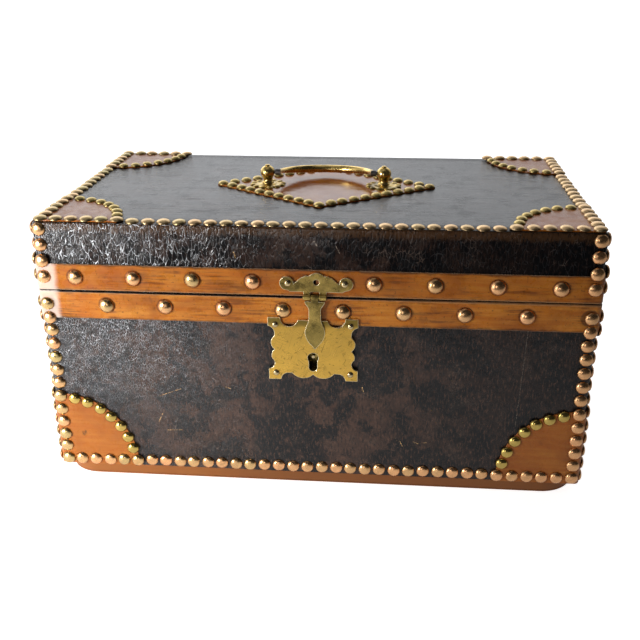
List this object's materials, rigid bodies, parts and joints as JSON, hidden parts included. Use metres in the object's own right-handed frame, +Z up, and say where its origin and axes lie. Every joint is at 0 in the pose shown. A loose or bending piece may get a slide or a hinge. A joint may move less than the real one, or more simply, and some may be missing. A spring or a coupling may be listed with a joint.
{
  "type": "leather document box",
  "caption": "Leather-covered wooden document box with a hinged lid, tan bands and patches, dome nails, a brass box lock with a hasp and a bail handle.",
  "frame": {"origin": "middle of the base, on the table", "axes": "+X to the box's right seen from its front, +Y to its back, +Z up; the front faces -Y"},
  "size_m": [0.3588, 0.2099, 0.1954],
  "materials": {
    "black_leather": "glazed, crackled and worn",
    "tan_leather": "polished, darkened at its edges",
    "wood": "planed pine",
    "lining_cloth": "plain woven cotton",
    "copper_nails": "worn reddish brass domes",
    "accent_nails": "yellow brass domes",
    "plate_brass": "scratched golden brass",
    "old_brass": "dull greenish brass",
    "dark_iron": "dark and dull"
  },
  "bodies": {
    "box": {"base_sheet": "black_leather", "base_board": "wood", "base_edging": "tan_leather", "front_board": "wood", "back_board": "wood", "left_board": "wood", "right_board": "wood", "body_leather": "black_leather", "body_band": "tan_leather", "body_corner_patches": "tan_leather", "body_lining": "lining_cloth", "bottom_row_nails": "copper_nails", "body_column_nails": "copper_nails", "body_band_nails": "copper_nails", "body_arc_nails": "accent_nails", "body_hinge_leaves": "old_brass", "hinge_pins": "old_brass", "body_hinge_screws": "old_brass", "lock_plate": "plate_brass", "lock_plate_nails": "plate_brass", "lock_case": "old_brass", "drill_pin": "old_brass", "lock_spring": "dark_iron"},
    "lid": {"lid_top_board": "wood", "lid_front_rail": "wood", "lid_back_rail": "wood", "lid_left_rail": "wood", "lid_right_rail": "wood", "lid_leather": "black_leather", "lid_band": "tan_leather", "top_corner_patches": "tan_leather", "diamond_patch": "tan_leather", "lid_lining": "lining_cloth", "top_row_nails": "copper_nails", "lid_column_nails": "copper_nails", "lid_band_nails": "copper_nails", "top_arc_nails": "accent_nails", "diamond_nails": "accent_nails", "lid_hinge_leaves": "old_brass", "lid_hinge_screws": "old_brass", "hasp_leaf": "old_brass", "hasp_nails": "old_brass", "hasp_pin": "old_brass", "left_post": "plate_brass", "right_post": "plate_brass", "rosettes": "plate_brass", "post_washers": "old_brass", "post_nuts": "old_brass"},
    "hasp": {"hasp_tongue": "old_brass", "hasp_staple": "old_brass"},
    "handle": {"handle_bail": "plate_brass", "handle_pivots": "dark_iron"},
    "bolt": {"lock_bolt": "old_brass"}
  },
  "joints": [
    {"name": "lid_hinge", "type": "hinge", "parent": "box", "child": "lid", "pos_m": [0, 0.0985, 0.1358], "axis": [-1, 0, 0], "range_deg": [0, 95]},
    {"name": "hasp_hinge", "type": "hinge", "parent": "lid", "child": "hasp", "pos_m": [0.0015, -0.1036, 0.1363], "axis": [-1, 0, 0], "range_deg": [0, 150]},
    {"name": "handle_hinge", "type": "hinge", "parent": "lid", "child": "handle", "pos_m": [0, 0, 0.19], "axis": [1, 0, 0], "range_deg": [0, 195]},
    {"name": "bolt_slide", "type": "slide", "parent": "box", "child": "bolt", "axis": [1, 0, 0], "range_m": [0, 0.006]}
  ]
}
